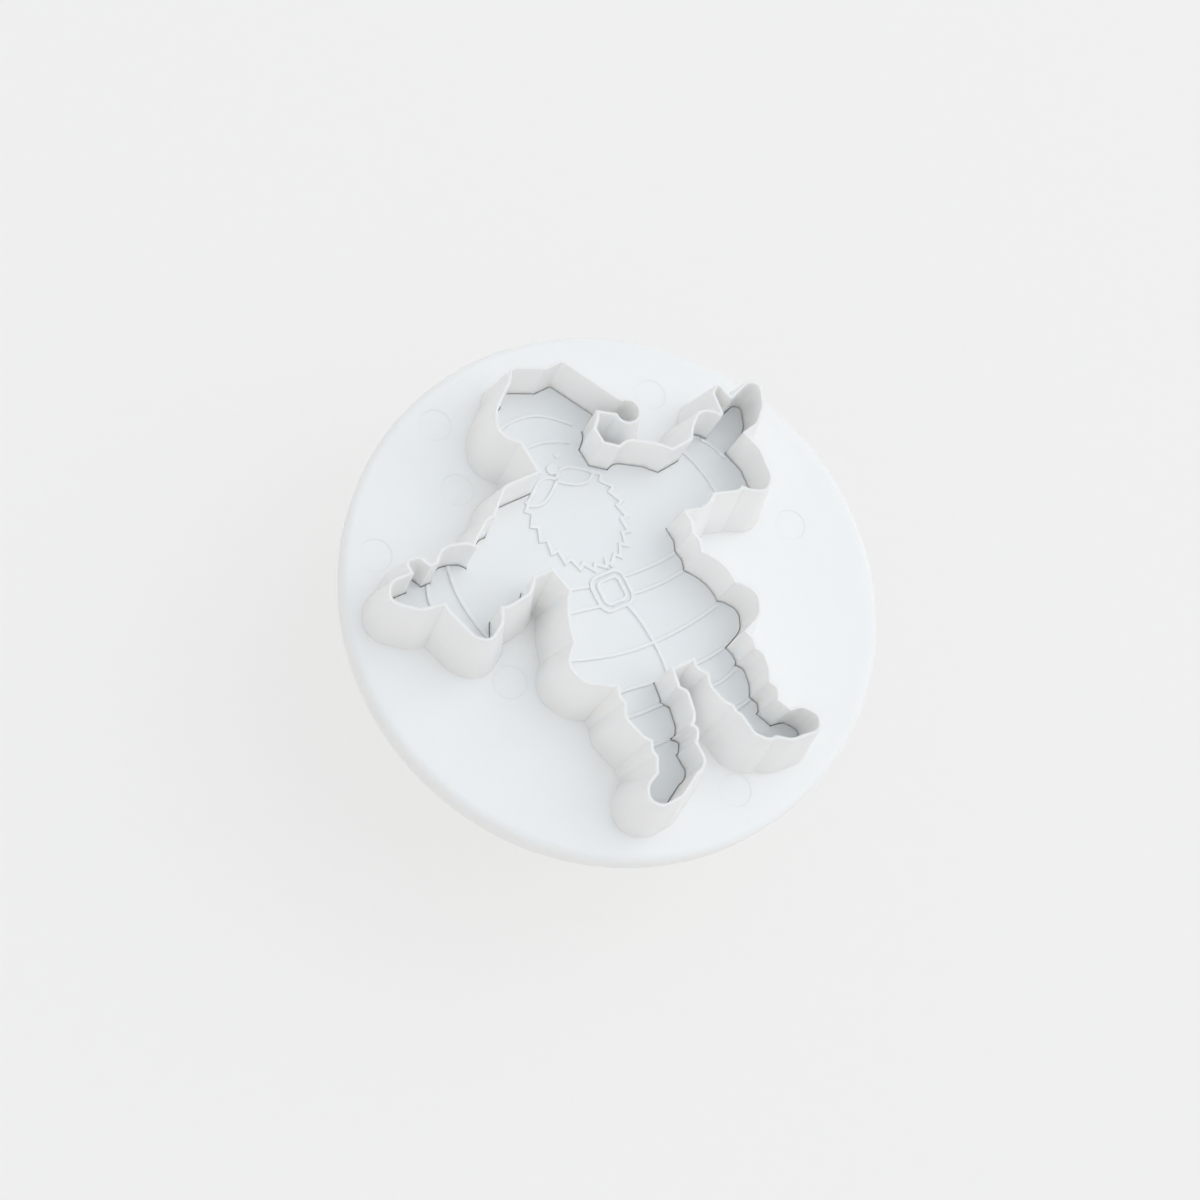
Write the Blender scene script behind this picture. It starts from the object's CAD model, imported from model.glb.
import math

import bmesh
import bpy
from mathutils import Matrix, Vector


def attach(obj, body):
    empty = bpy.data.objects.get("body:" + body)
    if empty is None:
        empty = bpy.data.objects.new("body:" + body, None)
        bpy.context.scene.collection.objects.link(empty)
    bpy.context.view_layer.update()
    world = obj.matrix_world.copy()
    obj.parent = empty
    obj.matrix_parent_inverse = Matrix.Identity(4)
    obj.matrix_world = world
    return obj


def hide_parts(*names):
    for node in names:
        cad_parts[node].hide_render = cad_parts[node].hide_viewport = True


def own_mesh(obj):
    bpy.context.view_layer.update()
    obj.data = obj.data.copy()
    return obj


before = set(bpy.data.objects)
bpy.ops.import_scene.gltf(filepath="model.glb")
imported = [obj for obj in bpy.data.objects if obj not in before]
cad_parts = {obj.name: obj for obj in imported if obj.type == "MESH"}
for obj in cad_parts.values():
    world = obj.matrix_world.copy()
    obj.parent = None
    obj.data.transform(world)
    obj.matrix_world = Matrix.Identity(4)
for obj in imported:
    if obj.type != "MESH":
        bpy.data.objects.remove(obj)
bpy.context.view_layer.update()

# Camera, at the photograph's viewing angle
CAMERA_PLACE = (-0.11420, -0.04475, 0.30631)
CAMERA_AIM = (-0.00454, -0.00056, 0.04380)
CAMERA_ROLL = math.radians(38.448)
CAMERA_LENS = 51.0
SENSOR_WIDTH = 36.0
NEAREST_SEEN = 0.01

# Noise: the range that its value mostly keeps to, and the part of it that a colour changes over
NOISE_LOW = 0.3
NOISE_HIGH = 0.7
BLEND_LOW = 0.35
BLEND_HIGH = 0.65

# Plastic: moulded white, a little translucent, and each colour wanders between two whites
WHITE_A = (0.976, 0.975, 0.963)
WHITE_B = (0.982, 0.981, 0.969)
PLATE_WHITE_A = (0.989, 0.989, 0.979)
PLATE_WHITE_B = (0.992, 0.992, 0.983)
BODY_ROUGHNESS = 0.42
PLATE_ROUGHNESS = 0.40
PLUNGER_ROUGHNESS = 0.36
ROUGHNESS_SPREAD = 0.05
PLASTIC_IOR = 1.49
GLOW_WEIGHT = 0.90
GLOW_DEPTH = 0.0016
PLATE_GLOW_DEPTH = 0.0003
GLOW_RADIUS = (1.0, 0.94, 0.86)
GRAIN_SIZE = 0.00035
GRAIN_DEPTH = 0.000006
GRAIN_DETAIL = 4.0
WAVE_SIZE = 0.009
WAVE_DEPTH = 0.00004
WAVE_DETAIL = 2.0
EDGE_SOFTNESS = 0.00022
EDGE_SAMPLES = 6

# Spring steel: drawn wire, dull in patches, with fine marks
STEEL_A = (0.50, 0.49, 0.47)
STEEL_B = (0.60, 0.59, 0.57)
STEEL_SMOOTH = 0.18
STEEL_ROUGH = 0.34
DULL_SIZE = 0.002
DULL_DETAIL = 3.0
MARK_SIZE = 0.00012
MARK_DEPTH = 0.000004
MARK_DETAIL = 2.0

# Spring wire, as in the CAD model but with closed ends that are ground flat
SPRING_RADIUS = 0.0060
WIRE_RADIUS = 0.0005
SPRING_FOOT = 0.0060
SPRING_TOP = 0.0278
SEAT_CLEARANCE = 0.00008
GROUND_SHARE = 0.6
ACTIVE_TURNS = 5
CLOSED_TURNS = 1
TOTAL_TURNS = ACTIVE_TURNS + 2 * CLOSED_TURNS
CLOSED_PITCH = 0.00104
STEPS_PER_TURN = 48
SMOOTH_STRETCH = 0.125
SMOOTH_COUNT = 3
WIRE_SIDES = 14

# Floor and backdrop: their own pale glow is for camera, glossy and transmission rays
# alone, and the floor's leaves part of the object's shadow
FLOOR_SIZE = 6.0
FLOOR_CELLS = 8
FLOOR_COLOUR_A = (0.905, 0.880, 0.862)
FLOOR_COLOUR_B = (0.915, 0.891, 0.874)
FLOOR_ROUGHNESS = 0.9
FLOOR_GLOSS = 0.2
FIBRE_SIZE = 0.004
FIBRE_DETAIL = 4.0
FLOOR_GLOW_COLOUR = (0.900, 0.898, 0.896)
FLOOR_GLOW_SHARE = 0.70
BACKDROP_COLOUR = (0.845, 0.845, 0.845)

# Light: a sky that is warm up to a low height and cool above a high one, and a soft key
SKY_LOW_COLOUR = (1.0, 0.943, 0.880)
SKY_HIGH_COLOUR = (0.851, 0.963, 1.055)
SKY_LOW_RISE = 0.3
SKY_HIGH_RISE = 0.9
SKY_STRENGTH = 0.768
KEY_DIRECTION = (0.60, -0.14, 0.78)
KEY_TARGET = (0.0, 0.0, 0.045)
KEY_DISTANCE = 2.0
KEY_SIZE = 2.0
KEY_LEVEL = 0.28
KEY_COLOUR = (1.0, 1.0, 1.0)


def new_material(name):
    """Node material with its principled shader and a texture coordinate in metres"""
    material = bpy.data.materials.new(name)
    material.use_nodes = True
    nodes = material.node_tree.nodes
    shader = nodes["Principled BSDF"]
    place = nodes.new("ShaderNodeTexCoord").outputs["Object"]
    return material, shader, place


def noise(material, place, feature_size, detail):
    """Noise whose features have a size in metres"""
    node = material.node_tree.nodes.new("ShaderNodeTexNoise")
    node.inputs["Scale"].default_value = 1.0 / feature_size
    node.inputs["Detail"].default_value = detail
    material.node_tree.links.new(place, node.inputs["Vector"])
    return node.outputs["Fac"]


def between(material, factor, low, high):
    """Value that goes from low to high with a noise factor"""
    node = material.node_tree.nodes.new("ShaderNodeMapRange")
    node.inputs["From Min"].default_value = NOISE_LOW
    node.inputs["From Max"].default_value = NOISE_HIGH
    node.inputs["To Min"].default_value = low
    node.inputs["To Max"].default_value = high
    material.node_tree.links.new(factor, node.inputs["Value"])
    return node.outputs["Result"]


def ramp(tree, factor, low, high, colour_a, colour_b):
    """Colour that goes from one to the other as a factor goes from low to high"""
    node = tree.nodes.new("ShaderNodeValToRGB")
    node.color_ramp.elements[0].position = low
    node.color_ramp.elements[1].position = high
    node.color_ramp.elements[0].color = (*colour_a, 1.0)
    node.color_ramp.elements[1].color = (*colour_b, 1.0)
    tree.links.new(factor, node.inputs["Fac"])
    return node.outputs["Color"]


def blended(material, factor, colour_a, colour_b):
    """Colour that goes from one to the other with a noise factor"""
    return ramp(material.node_tree, factor, BLEND_LOW, BLEND_HIGH, colour_a, colour_b)


def bumped(material, height, depth, normal=None):
    """Normal bumped by a height that stands for a depth in metres"""
    node = material.node_tree.nodes.new("ShaderNodeBump")
    node.inputs["Strength"].default_value = 1.0
    node.inputs["Distance"].default_value = depth
    material.node_tree.links.new(height, node.inputs["Height"])
    if normal is not None:
        material.node_tree.links.new(normal, node.inputs["Normal"])
    return node.outputs["Normal"]


def soft_edges(material, radius):
    """Normal that rounds every edge by a radius"""
    node = material.node_tree.nodes.new("ShaderNodeBevel")
    node.samples = EDGE_SAMPLES
    node.inputs["Radius"].default_value = radius
    return node.outputs["Normal"]


def plastic_material(name, colour_a, colour_b, roughness, glow_depth):
    """Injection moulded plastic: fine spark grain, faint sink waves and soft edges"""
    material, shader, place = new_material(name)
    links = material.node_tree.links
    waves = noise(material, place, WAVE_SIZE, WAVE_DETAIL)
    grain = noise(material, place, GRAIN_SIZE, GRAIN_DETAIL)
    links.new(blended(material, waves, colour_a, colour_b), shader.inputs["Base Color"])
    dullness = between(material, grain, roughness - ROUGHNESS_SPREAD, roughness + ROUGHNESS_SPREAD)
    links.new(dullness, shader.inputs["Roughness"])
    normal = soft_edges(material, EDGE_SOFTNESS)
    normal = bumped(material, waves, WAVE_DEPTH, normal)
    normal = bumped(material, grain, GRAIN_DEPTH, normal)
    links.new(normal, shader.inputs["Normal"])
    shader.inputs["IOR"].default_value = PLASTIC_IOR
    shader.inputs["Subsurface Weight"].default_value = GLOW_WEIGHT
    shader.inputs["Subsurface Radius"].default_value = GLOW_RADIUS
    shader.inputs["Subsurface Scale"].default_value = glow_depth
    return material


def spring_material():
    """Bright drawn stainless wire, with fine draw marks and a little dullness"""
    material, shader, place = new_material("spring_wire")
    links = material.node_tree.links
    dull = noise(material, place, DULL_SIZE, DULL_DETAIL)
    marks = noise(material, place, MARK_SIZE, MARK_DETAIL)
    links.new(blended(material, dull, STEEL_A, STEEL_B), shader.inputs["Base Color"])
    links.new(between(material, marks, STEEL_SMOOTH, STEEL_ROUGH), shader.inputs["Roughness"])
    links.new(bumped(material, marks, MARK_DEPTH), shader.inputs["Normal"])
    shader.inputs["Metallic"].default_value = 1.0
    return material


def seen_rays(tree):
    """One for camera, glossy and transmission rays, zero for the rays that light things"""
    rays = tree.nodes.new("ShaderNodeLightPath")
    seen = rays.outputs["Is Camera Ray"]
    for kind in ("Is Glossy Ray", "Is Transmission Ray"):
        either = tree.nodes.new("ShaderNodeMath")
        either.operation = "MAXIMUM"
        tree.links.new(seen, either.inputs[0])
        tree.links.new(rays.outputs[kind], either.inputs[1])
        seen = either.outputs["Value"]
    return seen


def floor_material():
    """Matt white paper"""
    material, shader, place = new_material("floor_paper")
    nodes, links = material.node_tree.nodes, material.node_tree.links
    fibre = noise(material, place, FIBRE_SIZE, FIBRE_DETAIL)
    links.new(blended(material, fibre, FLOOR_COLOUR_A, FLOOR_COLOUR_B), shader.inputs["Base Color"])
    shader.inputs["Roughness"].default_value = FLOOR_ROUGHNESS
    shader.inputs["Specular IOR Level"].default_value = FLOOR_GLOSS
    glow = nodes.new("ShaderNodeEmission")
    glow.inputs["Color"].default_value = (*FLOOR_GLOW_COLOUR, 1.0)
    share = nodes.new("ShaderNodeMath")
    share.operation = "MULTIPLY"
    share.inputs[1].default_value = FLOOR_GLOW_SHARE
    links.new(seen_rays(material.node_tree), share.inputs[0])
    mix = nodes.new("ShaderNodeMixShader")
    links.new(share.outputs["Value"], mix.inputs["Fac"])
    links.new(shader.outputs["BSDF"], mix.inputs[1])
    links.new(glow.outputs["Emission"], mix.inputs[2])
    links.new(mix.outputs["Shader"], nodes["Material Output"].inputs["Surface"])
    return material


def dress(node, material):
    """Gives a CAD node its material"""
    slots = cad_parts[node].data.materials
    slots.clear()
    slots.append(material)


def mesh_piece(name, mesh, material):
    """New object from a bmesh, smooth shaded"""
    data = bpy.data.meshes.new(name)
    mesh.to_mesh(data)
    mesh.free()
    data.polygons.foreach_set("use_smooth", [True] * len(data.polygons))
    data.materials.append(material)
    piece = bpy.data.objects.new(name, data)
    bpy.context.scene.collection.objects.link(piece)
    return piece


def spring_height(turn):
    """Height of the wire's middle after some turns: closed, open and closed again"""
    foot = SPRING_FOOT + WIRE_RADIUS * GROUND_SHARE
    top = SPRING_TOP - WIRE_RADIUS * GROUND_SHARE
    open_pitch = (top - foot - 2 * CLOSED_TURNS * CLOSED_PITCH) / ACTIVE_TURNS
    if turn < CLOSED_TURNS:
        return foot + CLOSED_PITCH * turn
    if turn > TOTAL_TURNS - CLOSED_TURNS:
        return top - CLOSED_PITCH * (TOTAL_TURNS - turn)
    return foot + CLOSED_TURNS * CLOSED_PITCH + open_pitch * (turn - CLOSED_TURNS)


def smooth_spring_height(turn):
    """Height averaged over a short stretch of wire, so that the pitch changes smoothly"""
    steps = range(-SMOOTH_COUNT, SMOOTH_COUNT + 1)
    places = [turn + SMOOTH_STRETCH * step / SMOOTH_COUNT for step in steps]
    heights = [spring_height(min(max(place, 0), TOTAL_TURNS)) for place in places]
    return sum(heights) / len(heights)


def wire_ring(mesh, turn):
    """Ring of points round the wire after some turns, cut flat at the spring's seats"""
    angle = 2 * math.pi * turn
    height = smooth_spring_height(turn)
    lowest = SPRING_FOOT + SEAT_CLEARANCE
    highest = SPRING_TOP - SEAT_CLEARANCE
    ring = []
    for side in range(WIRE_SIDES):
        around = 2 * math.pi * side / WIRE_SIDES
        out = SPRING_RADIUS + WIRE_RADIUS * math.cos(around)
        rise = min(max(height + WIRE_RADIUS * math.sin(around), lowest), highest)
        ring.append(mesh.verts.new((math.cos(angle) * out, math.sin(angle) * out, rise)))
    return ring


def build_spring(material):
    """One wire swept round the helix, its two ends ground flat"""
    mesh = bmesh.new()
    steps = range(TOTAL_TURNS * STEPS_PER_TURN + 1)
    rings = [wire_ring(mesh, step / STEPS_PER_TURN) for step in steps]
    for first, second in zip(rings, rings[1:]):
        for side in range(WIRE_SIDES):
            after = (side + 1) % WIRE_SIDES
            mesh.faces.new((first[side], first[after], second[after], second[side]))
    mesh.faces.new(rings[0])
    mesh.faces.new(reversed(rings[-1]))
    bmesh.ops.recalc_face_normals(mesh, faces=mesh.faces)
    spring = mesh_piece("coil_spring", mesh, material)
    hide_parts("return_spring")
    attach(spring, "cutter")
    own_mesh(spring)


def build_floor(material):
    """Wide pale floor that the cutter stands on"""
    mesh = bmesh.new()
    bmesh.ops.create_grid(mesh, x_segments=FLOOR_CELLS, y_segments=FLOOR_CELLS, size=FLOOR_SIZE / 2)
    floor = mesh_piece("floor", mesh, material)


def aim(thing, place, target, roll=0.0):
    """Puts a lamp or camera at a place, looking at a target, turned about its view"""
    towards = (Vector(target) - Vector(place)).to_track_quat("-Z", "Y").to_matrix().to_4x4()
    thing.matrix_world = Matrix.Translation(place) @ towards @ Matrix.Rotation(roll, 4, "Z")


def build_key():
    """Soft square lamp that adds its level of light to a surface that faces it"""
    lamp = bpy.data.lights.new("key", "AREA")
    lamp.size = KEY_SIZE
    lamp.color = KEY_COLOUR
    lamp.energy = KEY_LEVEL * math.pi**2 * KEY_DISTANCE**2
    thing = bpy.data.objects.new("key", lamp)
    bpy.context.scene.collection.objects.link(thing)
    place = Vector(KEY_TARGET) + Vector(KEY_DIRECTION).normalized() * KEY_DISTANCE
    aim(thing, place, KEY_TARGET)


def sky_colour(tree):
    """Light that is warm near the horizon and cool overhead"""
    place = tree.nodes.new("ShaderNodeTexCoord")
    axes = tree.nodes.new("ShaderNodeSeparateXYZ")
    tree.links.new(place.outputs["Generated"], axes.inputs["Vector"])
    return ramp(tree, axes.outputs["Z"], SKY_LOW_RISE, SKY_HIGH_RISE, SKY_LOW_COLOUR, SKY_HIGH_COLOUR)


def build_world():
    """Even soft studio light, seen by the camera as a pale backdrop"""
    world = bpy.data.worlds.new("studio")
    world.use_nodes = True
    bpy.context.scene.world = world
    nodes, links = world.node_tree.nodes, world.node_tree.links
    light = nodes["Background"]
    links.new(sky_colour(world.node_tree), light.inputs["Color"])
    light.inputs["Strength"].default_value = SKY_STRENGTH
    backdrop = nodes.new("ShaderNodeBackground")
    backdrop.inputs["Color"].default_value = (*BACKDROP_COLOUR, 1.0)
    backdrop.inputs["Strength"].default_value = 1.0
    mix = nodes.new("ShaderNodeMixShader")
    links.new(seen_rays(world.node_tree), mix.inputs["Fac"])
    links.new(light.outputs["Background"], mix.inputs[1])
    links.new(backdrop.outputs["Background"], mix.inputs[2])
    links.new(mix.outputs["Shader"], nodes["World Output"].inputs["Surface"])


def build_camera():
    """Camera of the photograph's view"""
    camera = bpy.data.cameras.new("camera")
    camera.lens = CAMERA_LENS
    camera.sensor_width = SENSOR_WIDTH
    camera.sensor_fit = "HORIZONTAL"
    camera.clip_start = NEAREST_SEEN
    thing = bpy.data.objects.new("camera", camera)
    bpy.context.scene.collection.objects.link(thing)
    aim(thing, CAMERA_PLACE, CAMERA_AIM, CAMERA_ROLL)
    bpy.context.scene.camera = thing


body_plastic = plastic_material("body_plastic", WHITE_A, WHITE_B, BODY_ROUGHNESS, GLOW_DEPTH)
plate_plastic = plastic_material("plate_plastic", PLATE_WHITE_A, PLATE_WHITE_B, PLATE_ROUGHNESS,
                                 PLATE_GLOW_DEPTH)
plunger_plastic = plastic_material("plunger_plastic", WHITE_A, WHITE_B, PLUNGER_ROUGHNESS, GLOW_DEPTH)
dress("cutter_body", body_plastic)
dress("embossing_plate", plate_plastic)
dress("plunger_stem", plunger_plastic)
dress("push_button", plunger_plastic)
build_spring(spring_material())

build_floor(floor_material())
build_key()
build_world()
build_camera()

bpy.context.scene.view_settings.view_transform = "Standard"
